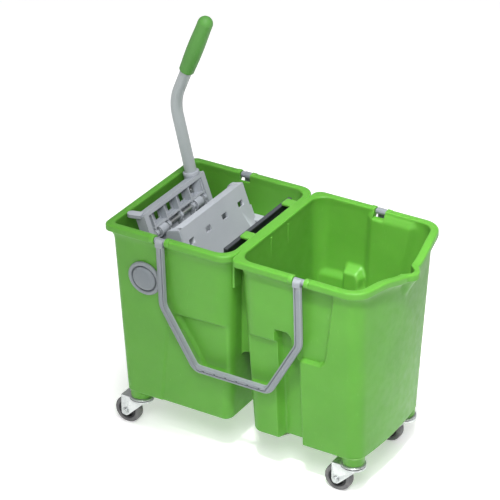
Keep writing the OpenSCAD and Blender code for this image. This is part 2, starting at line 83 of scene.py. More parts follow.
class Castor(Enum):
    """The four castors, by the corner each stands at: (X, Y) of its swivel axis."""

    FRONT_LEFT = (-212.0, -91.0)
    FRONT_RIGHT = (215.0, -91.0)
    BACK_LEFT = (-212.0, 91.0)
    BACK_RIGHT = (215.0, 91.0)


class Side(Enum):
    """The two long sides of the bucket."""

    FRONT = -1
    BACK = 1


def ease(low: float, high: float, value: np.ndarray) -> np.ndarray:
    """Climbs smoothly from 0 at low to 1 at high.

    Args:
        low: Where the climb starts.
        high: Where it ends.
        value: Values to place on the climb.

    Returns:
        The heights on the climb, between 0 and 1.
    """
    t = np.clip((value - low) / (high - low), 0.0, 1.0)
    return t * t * (3.0 - 2.0 * t)


def soft_max(a: np.ndarray, b: np.ndarray, blend: float) -> np.ndarray:
    """Takes the larger of two shapes and rounds the valley between them.

    Args:
        a: First values.
        b: Second values.
        blend: Width of the rounding.

    Returns:
        The blended larger values.
    """
    h = np.clip(0.5 + 0.5 * (a - b) / blend, 0.0, 1.0)
    return b + (a - b) * h + blend * h * (1.0 - h)


def inside_by(outline: Flat, x: np.ndarray, z: np.ndarray) -> np.ndarray:
    """Measures how far points lie inside a closed outline.

    Args:
        outline: Corners of the outline, in order.
        x: First coordinates of the points.
        z: Second coordinates of the points.

    Returns:
        Distances to the outline, positive inside it and negative outside.
    """
    near = np.full(np.shape(x), 1e9)
    inside = np.zeros(np.shape(x), bool)
    for (ax, az), (bx, bz) in zip(outline, outline[1:] + outline[:1]):
        dx, dz = bx - ax, bz - az
        t = np.clip(((x - ax) * dx + (z - az) * dz) / (dx * dx + dz * dz), 0.0, 1.0)
        near = np.minimum(near, np.hypot(x - ax - t * dx, z - az - t * dz))
        if dz != 0.0:
            crosses = (az > z) != (bz > z)
            inside ^= crosses & (x < ax + (z - az) * dx / dz)
    return np.where(inside, near, -near)


class Bench:
    """Turns points in millimetres into pieces, and gives them their rounded edges and shading."""

    @staticmethod
    def piece(name: str, points: np.ndarray | list[Point], faces: Faces,
              sharp: float = 40.0) -> bpy.types.Object:
        """Makes one piece from points and faces.

        Args:
            name: Name of the piece.
            points: Its points, in millimetres from the divider.
            faces: Its faces, as numbers of points.
            sharp: Angle in degrees above which an edge stays crisp.

        Returns:
            The new object.
        """
        mesh = bpy.data.meshes.new(name)
        moved = [((p[0] - MIDDLE_X) * MM, p[1] * MM, p[2] * MM) for p in points]
        mesh.from_pydata(moved, [], faces)
        form = bmesh.new()
        form.from_mesh(mesh)
        bmesh.ops.remove_doubles(form, verts=form.verts, dist=0.00002)
        bmesh.ops.recalc_face_normals(form, faces=form.faces)
        form.to_mesh(mesh)
        form.free()
        mesh.shade_smooth()
        mesh.set_sharp_from_angle(angle=math.radians(sharp))
        obj = bpy.data.objects.new(name, mesh)
        bpy.context.scene.collection.objects.link(obj)
        return obj

    @staticmethod
    def skin(rows: int, columns: int) -> Faces:
        """Lists the faces of a closed skin over rings of points.

        Args:
            rows: Number of rings.
            columns: Points in each ring.

        Returns:
            The faces, with the first and last ring closed.
        """
        faces = []
        for i in range(rows - 1):
            for j in range(columns):
                k = (j + 1) % columns
                a, b = i * columns, (i + 1) * columns
                faces.append((a + j, a + k, b + k, b + j))
        faces.append(tuple(reversed(range(columns))))
        faces.append(tuple((rows - 1) * columns + j for j in range(columns)))
        return faces

    @staticmethod
    def slab(outline: Flat, low: float, high: float, frame: Matrix) -> Shape:
        """Makes a flat slab with a given outline.

        Args:
            outline: Corners of the slab, in the frame's X and Y.
            low: Where it starts along the frame's Z.
            high: Where it ends along the frame's Z.
            frame: Place of the slab.

        Returns:
            Its points and faces.
        """
        points = [tuple(frame @ Vector((x, y, z))) for z in (low, high) for x, y in outline]
        return points, Bench.skin(2, len(outline))

    @staticmethod
    def lathe(profile: Flat, frame: Matrix, steps: int = 40) -> Shape:
        """Turns a profile about the frame's Z axis.

        Args:
            profile: Radius and height of each ring.
            frame: Place of the turned shape.
            steps: Points round each ring.

        Returns:
            Its points and faces.
        """
        points = []
        for r, z in profile:
            for k in range(steps):
                a = 2.0 * math.pi * k / steps
                points.append(tuple(frame @ Vector((r * math.cos(a), r * math.sin(a), z))))
        return points, Bench.skin(len(profile), steps)

    @staticmethod
    def gather(name: str, parts: list[Shape],
               sharp: float = 40.0) -> bpy.types.Object:
        """Joins several shapes into one piece.

        Args:
            name: Name of the piece.
            parts: Points and faces of each shape.
            sharp: Angle in degrees above which an edge stays crisp.

        Returns:
            The new object.
        """
        points: list[Point] = []
        faces: Faces = []
        for some, their in parts:
            faces += [tuple(i + len(points) for i in f) for f in their]
            points += some
        return Bench.piece(name, points, faces, sharp)

    @staticmethod
    def round_edges(obj: bpy.types.Object, width: float, steps: int = 2) -> None:
        """Rounds the crisp edges of a piece.

        Args:
            obj: The piece.
            width: Width of the rounding in millimetres.
            steps: Number of faces across the rounding.
        """
        bevel = obj.modifiers.new("edges", "BEVEL")
        bevel.width = width * MM
        bevel.segments = steps
        bevel.limit_method = "ANGLE"
        bevel.angle_limit = math.radians(32.0)
        bevel.harden_normals = False
        level = obj.modifiers.new("level", "WEIGHTED_NORMAL")
        level.keep_sharp = False
        level.weight = 60

    @staticmethod
    def refine(obj: bpy.types.Object, width: float) -> None:
        """Gives a solid of the frame clean faces and rounded edges; its own points stay.

        Args:
            obj: The frame's object.
            width: Width of the rounding in millimetres.
        """
        custom = obj.data.attributes.get("custom_normal")
        if custom is not None:
            obj.data.attributes.remove(custom)
        obj.data.shade_smooth()
        weld = obj.modifiers.new("weld", "WELD")
        weld.merge_threshold = 0.00001
        flat = obj.modifiers.new("flat", "DECIMATE")
        flat.decimate_type = "DISSOLVE"
        flat.angle_limit = math.radians(0.8)
        Bench.round_edges(obj, width)

    @staticmethod
    def carve(obj: bpy.types.Object, tools: list[bpy.types.Object]) -> None:
        """Cuts shapes out of a piece and removes the cutting shapes.

        Args:
            obj: The piece.
            tools: The cutting shapes.
        """
        for tool in tools:
            cut = obj.modifiers.new("cut", "BOOLEAN")
            cut.object = tool
            cut.solver = "EXACT"
        bpy.context.view_layer.update()
        seen = obj.evaluated_get(bpy.context.evaluated_depsgraph_get())
        mesh = bpy.data.meshes.new_from_object(seen)
        obj.modifiers.clear()
        obj.data = mesh
        for tool in tools:
            bpy.data.objects.remove(tool)
        mesh.shade_smooth()
        mesh.set_sharp_from_angle(angle=math.radians(40.0))


class Nodes:
    """Short calls that lay out the nodes of one finish."""

    def __init__(self, name: str) -> None:
        """Starts an empty finish.

        Args:
            name: Name of the finish.
        """
        self.finish = bpy.data.materials.new(name)
        self.finish.use_nodes = True
        self.tree = self.finish.node_tree
        self.shader = self.tree.nodes["Principled BSDF"]
        self.place = self.tree.nodes.new("ShaderNodeTexCoord").outputs["Object"]

    def noise(self, scale: float, detail: float = 3.0, rough: float = 0.5,
              stretch: Point = (1.0, 1.0, 1.0)) -> bpy.types.NodeSocket:
        """Adds a noise in the piece's own space.

        Args:
            scale: Waves per metre.
            detail: Octaves of finer noise.
            rough: Weight of the finer octaves.
            stretch: Factors on the three axes.

        Returns:
            The noise's value.
        """
        turn = self.tree.nodes.new("ShaderNodeMapping")
        turn.inputs["Scale"].default_value = stretch
        self.tree.links.new(self.place, turn.inputs["Vector"])
        node = self.tree.nodes.new("ShaderNodeTexNoise")
        node.inputs["Scale"].default_value = scale
        node.inputs["Detail"].default_value = detail
        node.inputs["Roughness"].default_value = rough
        self.tree.links.new(turn.outputs["Vector"], node.inputs["Vector"])
        return node.outputs["Fac"]

    def spread(self, value: bpy.types.NodeSocket, low: float, high: float,
               to_low: float, to_high: float) -> bpy.types.NodeSocket:
        """Maps a range of a value onto another range.

        Args:
            value: Value to map.
            low: Start of its range.
            high: End of its range.
            to_low: Result at the start.
            to_high: Result at the end.

        Returns:
            The mapped value.
        """
        node = self.tree.nodes.new("ShaderNodeMapRange")
        for key, number in (("From Min", low), ("From Max", high),
                            ("To Min", to_low), ("To Max", to_high)):
            node.inputs[key].default_value = number
        self.tree.links.new(value, node.inputs["Value"])
        return node.outputs["Result"]

    def blend(self, amount: bpy.types.NodeSocket, first: Colour | bpy.types.NodeSocket,
              second: Colour) -> bpy.types.NodeSocket:
        """Mixes two colours.

        Args:
            amount: Share of the second colour.
            first: First colour, or a socket that gives it.
            second: Second colour.

        Returns:
            The mixed colour.
        """
        node = self.tree.nodes.new("ShaderNodeMix")
        node.data_type = "RGBA"
        self.tree.links.new(amount, node.inputs["Factor"])
        if isinstance(first, tuple):
            node.inputs["A"].default_value = (*first, 1.0)
        else:
            self.tree.links.new(first, node.inputs["A"])
        node.inputs["B"].default_value = (*second, 1.0)
        return node.outputs["Result"]

    def edges(self, low: float, high: float, most: float) -> bpy.types.NodeSocket:
        """Picks out the convex edges, where a finish wears.

        Args:
            low: Sharpness at which wear starts.
            high: Sharpness at which it is full.
            most: Share of wear there.

        Returns:
            The share of wear.
        """
        shape = self.tree.nodes.new("ShaderNodeNewGeometry")
        return self.spread(shape.outputs["Pointiness"], low, high, 0.0, most)

    def bump(self, height: bpy.types.NodeSocket, strength: float, depth: float) -> None:
        """Adds a relief to the surface, over any relief it has.

        Args:
            height: Height of the relief, from 0 to 1.
            strength: Strength of its effect.
            depth: Depth in millimetres.
        """
        node = self.tree.nodes.new("ShaderNodeBump")
        node.inputs["Strength"].default_value = strength
        node.inputs["Distance"].default_value = depth * MM
        self.tree.links.new(height, node.inputs["Height"])
        before = self.shader.inputs["Normal"].links
        if before:
            self.tree.links.new(before[0].from_socket, node.inputs["Normal"])
        self.tree.links.new(node.outputs["Normal"], self.shader.inputs["Normal"])

    def wire(self, value: bpy.types.NodeSocket, socket: str) -> None:
        """Feeds a value to one of the shader's sockets."""
        self.tree.links.new(value, self.shader.inputs[socket])


@dataclass(frozen=True)
class Moulded:
    """Injection-moulded plastic: soft mottling, fine grain, scuffs and slightly rubbed edges."""

    name: str
    body: Colour
    deep: Colour
    rubbed: Colour
    gloss: tuple[float, float] = (0.34, 0.5)
    grain: float = 900.0
    relief: float = 0.12
    wear: float = 0.35
    glow: float = 0.0

    def make(self) -> bpy.types.Material:
        """Builds the finish and returns it."""
        n = Nodes(self.name)
        mottle = n.spread(n.noise(11.0, 4.0, 0.55), 0.35, 0.65, 0.0, 1.0)
        colour = n.blend(mottle, self.body, self.deep)
        scuff = n.spread(n.noise(150.0, 5.0, 0.7, (1.0, 1.0, 0.35)), 0.62, 0.78, 0.0, 0.35)
        colour = n.blend(scuff, colour, self.rubbed)
        colour = n.blend(n.edges(0.52, 0.6, self.wear), colour, self.rubbed)
        n.wire(colour, "Base Color")
        n.wire(n.spread(n.noise(60.0, 4.0), 0.3, 0.7, *self.gloss), "Roughness")
        n.bump(n.noise(self.grain, 3.0, 0.6), self.relief, 0.25)
        n.bump(n.noise(18.0, 2.0), 0.12, 1.2)
        n.shader.inputs["Specular IOR Level"].default_value = 0.3
        if self.glow > 0.0:
            n.shader.inputs["Subsurface Weight"].default_value = self.glow
            n.shader.inputs["Subsurface Radius"].default_value = (0.6, 1.0, 0.4)
            n.shader.inputs["Subsurface Scale"].default_value = 6.0 * MM
        return n.finish


@dataclass(frozen=True)
class Plated:
    """Zinc-plated steel: faint crystal patches, dull spots and bright edges."""

    name: str
    body: Colour
    dull: Colour
    bright: Colour
    gloss: tuple[float, float] = (0.26, 0.44)

    def make(self) -> bpy.types.Material:
        """Builds the finish and returns it."""
        n = Nodes(self.name)
        crystal = n.tree.nodes.new("ShaderNodeTexVoronoi")
        crystal.inputs["Scale"].default_value = 260.0
        n.tree.links.new(n.place, crystal.inputs["Vector"])
        patch = n.spread(crystal.outputs["Distance"], 0.1, 0.7, 0.0, 0.6)
        colour = n.blend(patch, self.body, self.dull)
        spots = n.spread(n.noise(90.0, 5.0, 0.65), 0.55, 0.75, 0.0, 0.55)
        colour = n.blend(spots, colour, self.dull)
        colour = n.blend(n.edges(0.52, 0.62, 0.6), colour, self.bright)
        n.wire(colour, "Base Color")
        n.wire(n.spread(n.noise(220.0, 4.0), 0.3, 0.7, *self.gloss), "Roughness")
        n.shader.inputs["Metallic"].default_value = 0.85
        n.bump(n.noise(700.0, 4.0, 0.6), 0.08, 0.15)
        return n.finish


@dataclass(frozen=True)
class Coated:
    """Powder-coated tube: orange-peel relief, small specks and rubbed patches."""

    name: str
    body: Colour
    speck: Colour
    rubbed: Colour
    gloss: tuple[float, float] = (0.3, 0.42)

    def make(self) -> bpy.types.Material:
        """Builds the finish and returns it."""
        n = Nodes(self.name)
        specks = n.spread(n.noise(1300.0, 2.0), 0.62, 0.72, 0.0, 0.4)
        colour = n.blend(specks, self.body, self.speck)
        patch = n.spread(n.noise(45.0, 6.0, 0.7), 0.56, 0.7, 0.0, 0.4)
        colour = n.blend(patch, colour, self.rubbed)
        n.wire(colour, "Base Color")
        n.wire(n.spread(n.noise(70.0, 3.0), 0.3, 0.7, *self.gloss), "Roughness")
        n.bump(n.noise(420.0, 2.0, 0.4), 0.16, 0.3)
        return n.finish


@dataclass(frozen=True)
class Rubber:
    """Soft grey tread: matt, with dust in its grain and darker rolled patches."""

    name: str
    body: Colour
    dust: Colour
    dark: Colour

    def make(self) -> bpy.types.Material:
        """Builds the finish and returns it."""
        n = Nodes(self.name)
        dust = n.spread(n.noise(70.0, 5.0, 0.6), 0.4, 0.68, 0.0, 0.7)
        colour = n.blend(dust, self.body, self.dust)
        rolled = n.spread(n.noise(200.0, 4.0, 0.7), 0.55, 0.75, 0.0, 0.7)
        colour = n.blend(rolled, colour, self.dark)
        n.wire(colour, "Base Color")
        n.wire(n.spread(n.noise(300.0, 3.0), 0.3, 0.7, 0.6, 0.8), "Roughness")
        n.bump(n.noise(1500.0, 3.0, 0.6), 0.3, 0.2)
        return n.finish


class Finishes:
    """Every finish of the bucket, made once and shared by its pieces."""

    def __init__(self) -> None:
        """Makes the finishes."""
        self.tub = Moulded("tub_green", (0.1, 0.32, 0.035), (0.089, 0.295, 0.03),
                           (0.19, 0.45, 0.095), glow=0.5).make()
        self.jaw = Moulded("wringer_grey", (0.335, 0.36, 0.395), (0.295, 0.32, 0.355),
                           (0.5, 0.52, 0.55), gloss=(0.36, 0.5)).make()
        self.bail = Moulded("bail_grey", (0.2, 0.222, 0.24), (0.172, 0.193, 0.21),
                            (0.55, 0.57, 0.6), gloss=(0.32, 0.46)).make()
        self.rail = Moulded("rail_dark", (0.03, 0.035, 0.04), (0.022, 0.026, 0.03),
                            (0.1, 0.11, 0.12)).make()
        self.hub = Moulded("hub_black", (0.018, 0.018, 0.02), (0.012, 0.012, 0.014),
                           (0.07, 0.07, 0.075), gloss=(0.38, 0.55)).make()
        self.grip = Moulded("grip_green", (0.1, 0.3, 0.06), (0.085, 0.26, 0.05),
                            (0.24, 0.48, 0.2), gloss=(0.42, 0.58), grain=1200.0, relief=0.22).make()
        self.tube = Coated("tube_grey", (0.36, 0.395, 0.4), (0.24, 0.265, 0.27),
                           (0.46, 0.49, 0.5)).make()
        self.zinc = Plated("zinc_steel", (0.56, 0.58, 0.58), (0.38, 0.4, 0.41),
                           (0.8, 0.82, 0.82)).make()
        self.tread = Rubber("tread_grey", (0.11, 0.11, 0.115), (0.2, 0.195, 0.19),
                            (0.06, 0.06, 0.062)).make()


def dress(obj: bpy.types.Object, finish: bpy.types.Material, what: str) -> None:
    """Gives a piece its one finish and reports it.

    Args:
        obj: The piece or the frame's object.
        finish: Its finish.
        what: What the piece is, in a few words.
    """
    obj.data.materials.clear()
    obj.data.materials.append(finish)
    for polygon in obj.data.polygons:
        polygon.material_index = 0
    LOG.info("%s: %s, %s", obj.name, what, finish.name)


@dataclass
class Recess:
    """One recess pressed into the side walls."""

    outline: Flat
    depth: float
    flank: float = 4.0
    swell: float = 14.0


@dataclass
class Tub:
    """One drafted tub, lofted from its underside up over the rim and down to its floor."""

    name: str
    ends_top: tuple[float, float]
    ends_base: tuple[float, float]
    corners_top: tuple[float, float]
    corners_base: tuple[float, float]
    bows: tuple[float, float]
    rim_ends: tuple[float, float]
    rim_corners: tuple[float, float]
    rim_bow: float
    straights: tuple[float, float]
    knuckle: float
    lip: bool = False
    base_z: float = 76.0
    wall_z: float = 408.0
    rim_z: float = 420.0
    half: tuple[float, float] = (137.0, 112.0)
    rim_half: float = 147.0
    wall: float = 3.5
    seam_x: float = 4.0
    notch_half: float = 10.5
    notch_z: float = 405.0
    cove_z: float = 387.0
    recesses: list[Recess] = field(default_factory=list)

    def columns(self) -> np.ndarray:
        """Lists the X places of the points along the straight sides."""
        xs = list(np.linspace(*self.straights, int((self.straights[1] - self.straights[0]) / 2.4)))
        for e in (-1, 1):
            edge = self.knuckle + e * self.notch_half
            xs = [x for x in xs if abs(x - edge) > 0.8] + [edge - 0.06, edge + 0.06]
        return np.array(sorted(xs))

    def outline(self, x0: float, x1: float, hy: float, r0: float, r1: float, bow: float
                ) -> np.ndarray:
        """Draws the tub from above, always with the same number of points.

        Args:
            x0: X of the -X end.
            x1: X of the +X end, before its bow.
            hy: Half width.
            r0: Corner radius at the -X end.
            r1: Corner radius at the +X end.
            bow: How far the +X end bows out.

        Returns:
            The points of the outline.
        """
        steps, across = 9, 44
        xs = self.columns()
        bow = max(bow, 0.02)
        cx, cy, apex = x1 - r1, hy - r1, x1 + bow
        d = apex - cx
        big = (d * d + cy * cy - r1 * r1) / (2.0 * (d - r1))
        phi = math.atan2(cy, big - d)
        a = np.radians(np.linspace(180.0, 270.0, steps))
        first = np.stack([x0 + r0 + r0 * np.cos(a), r0 - hy + r0 * np.sin(a)], 1)
        side = np.stack([xs, np.full(len(xs), -hy)], 1)
        a = np.linspace(-math.pi / 2, -phi, steps)
        turn = np.stack([cx + r1 * np.cos(a), -cy + r1 * np.sin(a)], 1)
        a = np.linspace(-phi, phi, across)[1:-1]
        end = np.stack([apex - big + big * np.cos(a), big * np.sin(a)], 1)
        half = np.concatenate([first, side, turn])
        y = np.linspace(hy - r0, r0 - hy, across)[1:-1]
        start = np.stack([np.full(len(y), x0), y], 1)
        return np.concatenate([half, end, half[::-1] * (1.0, -1.0), start])

    def level(self, z: float, grow: float) -> np.ndarray:
        """Draws the wall at one height.

        Args:
            z: Height.
            grow: How far the outline is grown outwards.

        Returns:
            Its points, with their height.
        """
        t = self.climb(z)

        def at(top: float, base: float) -> float:
            """Gives a measure at this height from its values at the top and base."""
            return base + (top - base) * t

        flat = self.outline(
            at(self.ends_top[0], self.ends_base[0]) - grow,
            at(self.ends_top[1], self.ends_base[1]) + grow,
            self.half_at(z) + grow,
            at(self.corners_top[0], self.corners_base[0]) + grow,
            at(self.corners_top[1], self.corners_base[1]) + grow,
            at(*self.bows))
        return np.column_stack([flat, np.full(len(flat), z)])

    def half_at(self, z: float) -> float:
        """Gives the half width of the outer wall at a height."""
        return self.half[1] + (self.half[0] - self.half[1]) * self.climb(z)

    def climb(self, z: float) -> float:
        """Gives a height's share of the drafted wall, 0 at its base and 1 at its top."""
        return min(max((z - self.base_z) / (self.wall_z - self.base_z), 0.0), 1.0)

    def pressed(self, z: float, grow: float) -> np.ndarray:
        """Draws the wall at one height with its recesses."""
        return self.press(self.level(z, grow), z, grow)

    def full(self, z: float, grow: float) -> np.ndarray:
        """Draws the wall at one height with its recesses and its throat."""
        return self.nose(self.pressed(z, grow), z, grow)

    def press(self, ring: np.ndarray, z: float, grow: float) -> np.ndarray:
        """Presses the recesses into one ring of the wall.

        Args:
            ring: Points of the ring.
            z: Height at which the recesses are read.
            grow: How far the ring is grown outwards.

        Returns:
            The ring with its recesses.
        """
        x = ring[:, 0]
        depth = np.zeros(len(ring))
        for recess in self.recesses:
            within = inside_by(recess.outline, x, np.full(len(ring), z))
            if grow <= -self.wall and self.base_z + 8.0 < z:
                share = ease(-recess.swell, 1.0, within)
            else:
                share = ease(-recess.flank / 2, recess.flank / 2, within)
            depth = np.maximum(depth, recess.depth * share)
        limit = self.half_at(z) + grow - depth
        out = ring.copy()
        out[:, 1] = np.clip(ring[:, 1], -limit, limit)
        return out

    def lip_at(self, ring: np.ndarray, centre: float, radius: float) -> np.ndarray:
        """Pushes the nose of the pouring lip out of one ring.

        Args:
            ring: Points of the ring.
            centre: X of the nose's centre.
            radius: Radius of the nose.

        Returns:
            The ring with its nose.
        """
        out = ring.copy()
        near = (np.abs(ring[:, 1]) < radius + 12.0) & (ring[:, 0] > 150.0)
        y = ring[near, 1]
        nose = centre + np.sqrt(np.maximum(radius ** 2 - y ** 2, 0.0)) - 3.0 * np.maximum(
            np.abs(y) - radius, 0.0)
        out[near, 0] = soft_max(nose, ring[near, 0], 4.0)
        return out

    def nose(self, ring: np.ndarray, z: float, grow: float) -> np.ndarray:
        """Pushes the throat under the lip out of one ring of the wall.

        Args:
            ring: Points of the ring.
            z: Height of the ring.
            grow: How far the ring is grown outwards.

        Returns:
            The ring with its throat.
        """
        if not self.lip or z < THROAT_Z:
            return ring
        t = min((z - THROAT_Z) / THROAT_H, 1.0)
        return self.lip_at(ring, 240.0 + 16.0 * t, 9.0 + 9.0 * t + grow)

    def dip(self, points: np.ndarray) -> np.ndarray:
        """Lowers the rim towards the pouring lip.

        Args:
            points: Points of the tub.

        Returns:
            The points with the dip.
        """
        if not self.lip:
            return points
        out = points.copy()
        away = np.clip((np.abs(points[..., 1]) - 8.0) / 87.0, 0.0, 1.0)
        share = 0.5 * (1.0 + np.cos(math.pi * away)) * ease(222.0, 240.0, points[..., 0])
        out[..., 2] -= 16.0 * share * ease(330.0, 406.0, points[..., 2])
        return out

    def notch(self, points: np.ndarray) -> np.ndarray:
        """Cuts the notches in which the bail knuckles turn.

        Args:
            points: Points of the tub.

        Returns:
            The points with the notches.
        """
        out = points.copy()
        here = (np.abs(points[..., 0] - self.knuckle) < self.notch_half) & (
            np.abs(points[..., 1]) > 100.0) & (points[..., 2] > self.cove_z)
        out[here, 2] = np.minimum(out[here, 2], self.notch_z)
        most = self.half[0] - (self.wall_z - out[here, 2]) * (
            self.half[0] - self.half[1]) / (self.wall_z - self.base_z)
        out[here, 1] = np.clip(out[here, 1], -most, most)
        return out

    def rings(self) -> list[np.ndarray]:
        """Lists every ring, from the underside over the rim to the floor."""
        rows: list[np.ndarray] = []
        foot = self.level(self.base_z, -FOOT_R)
        centre = foot.mean(0)
        for share in (0.12, 0.5, 0.86):
            flat = (foot - centre) * (share, share, 1.0) + centre
            rows.append(self.press(flat, self.base_z, -FOOT_R))
        for a in np.radians(np.linspace(0.0, 90.0, 6)):
            z = self.base_z + FOOT_R * (1.0 - math.cos(a))
            rows.append(self.pressed(z, -FOOT_R * (1.0 - math.sin(a))))
        for z in np.linspace(self.base_z + 7.0, self.cove_z, 112):
            rows.append(self.full(z, 0.0))
        rows += self.flange()
        inner = -self.wall
        for z in np.linspace(self.wall_z + 6.0, self.base_z + 11.0, 100):
            rows.append(self.full(z, inner))
        for a in np.radians(np.linspace(0.0, 90.0, 6)[1:]):
            z = self.base_z + self.wall + FLOOR_R * (1.0 - math.sin(a))
            rows.append(self.pressed(z, inner - FLOOR_R * (1.0 - math.cos(a))))
        floor = rows[-1]
        for share in (0.86, 0.5, 0.12):
            rows.append((floor - centre) * share + centre)
            rows[-1][:, 2] = self.base_z + self.wall
        return rows

    def flange(self) -> list[np.ndarray]:
        """Lists the rings of the rim: underside, outer face, top and inner edge."""
        wall = self.nose(self.level(self.wall_z, 0.0), self.wall_z, 0.0)
        flat = self.outline(*self.rim_ends, self.rim_half, *self.rim_corners, self.rim_bow)
        rim = np.column_stack([flat, np.full(len(flat), self.wall_z)])
        if self.lip:
            rim = self.lip_at(rim, 261.0, 20.0)
        inner = self.nose(self.level(self.wall_z, -self.wall), self.wall_z, -self.wall)
        near = ease(30.0, 8.0, np.abs(rim[:, 0] - self.seam_x)) * (
            1.0 - ease(104.0, 124.0, np.abs(rim[:, 1])))
        rows = []
        for a in np.radians(np.linspace(9.0, 88.0, 11)):
            z = self.cove_z + (self.wall_z - self.cove_z) * math.sin(a)
            ring = self.full(z, 0.0)
            ring = ring + (rim - wall) * (1.0 - math.cos(a))
            ring[:, 2] = z
            rows.append(ring)
        for share, z in ((0.985, 0.4), (1.0, 1.3)):
            ring = wall + (rim - wall) * share
            ring[:, 2] = self.wall_z + z
            rows.append(ring)
        top = self.rim_z
        for share, z in ((0.0, -6.0), (0.0, -3.2), (0.025, -1.7), (0.08, -0.7), (0.16, -0.15),
                         (0.26, 0.0), (0.5, 0.0), (0.78, 0.0), (0.88, -0.2), (0.95, -0.9),
                         (0.99, -2.1), (1.0, -4.0)):
            ring = rim + (inner - rim) * share
            flush = near if share < 0.2 else np.zeros(len(rim))
            ring[:, 2] = top + z * (1.0 - flush)
            rows.append(ring)
        return rows

    def build(self) -> bpy.types.Object:
        """Lofts the tub and returns it."""
        rows = np.stack(self.rings())
        rows = self.notch(self.dip(rows))
        count, columns = rows.shape[:2]
        return Bench.piece(self.name, rows.reshape(-1, 3), Bench.skin(count, columns), 62.0)


def box_outline(x0: float, x1: float, y0: float, y1: float, r: float = 2.0, steps: int = 4) -> Flat:
    """Draws a rectangle with rounded corners.

    Args:
        x0: Lowest first coordinate.
        x1: Highest first coordinate.
        y0: Lowest second coordinate.
        y1: Highest second coordinate.
        r: Corner radius.
        steps: Faces round each corner.

    Returns:
        The outline.
    """
    corners = ((x1 - r, y1 - r, 0.0), (x0 + r, y1 - r, 90.0), (x0 + r, y0 + r, 180.0),
               (x1 - r, y0 + r, 270.0))
    return [(cx + r * math.cos(math.radians(a + 90.0 * k / steps)),
             cy + r * math.sin(math.radians(a + 90.0 * k / steps)))
            for cx, cy, a in corners for k in range(steps + 1)]


def block(low: Point, high: Point, r: float) -> Shape:
    """Makes an upright block with rounded corners.

    Args:
        low: Its lowest corner.
        high: Its highest corner.
        r: Radius of its upright corners.

    Returns:
        Its points and faces.
    """
    outline = box_outline(low[0], high[0], low[1], high[1], r)
    return Bench.slab(outline, low[2], high[2], Matrix.Identity(4))


def in_slope(side: Side, inward: float) -> Matrix:
    """Gives the frame of a shape that lies in the slope of a side wall.

    Args:
        side: Which long side.
        inward: How far the frame lies inside the wall's outer face.

    Returns:
        The frame: X along the bucket, Y up the wall from its base, and Z out of the wall.
    """
    out = Vector((0.0, side.value * math.cos(SLOPE), -math.sin(SLOPE)))
    up = Vector((0.0, side.value * math.sin(SLOPE), math.cos(SLOPE)))
    frame = Matrix.Identity(4)
    for column, axis in enumerate((Vector((1.0, 0.0, 0.0)), up, out)):
        frame.col[column] = (*axis, 0.0)
    frame.translation = Vector((0.0, side.value * 112.0, 76.0)) - out * inward
    return frame


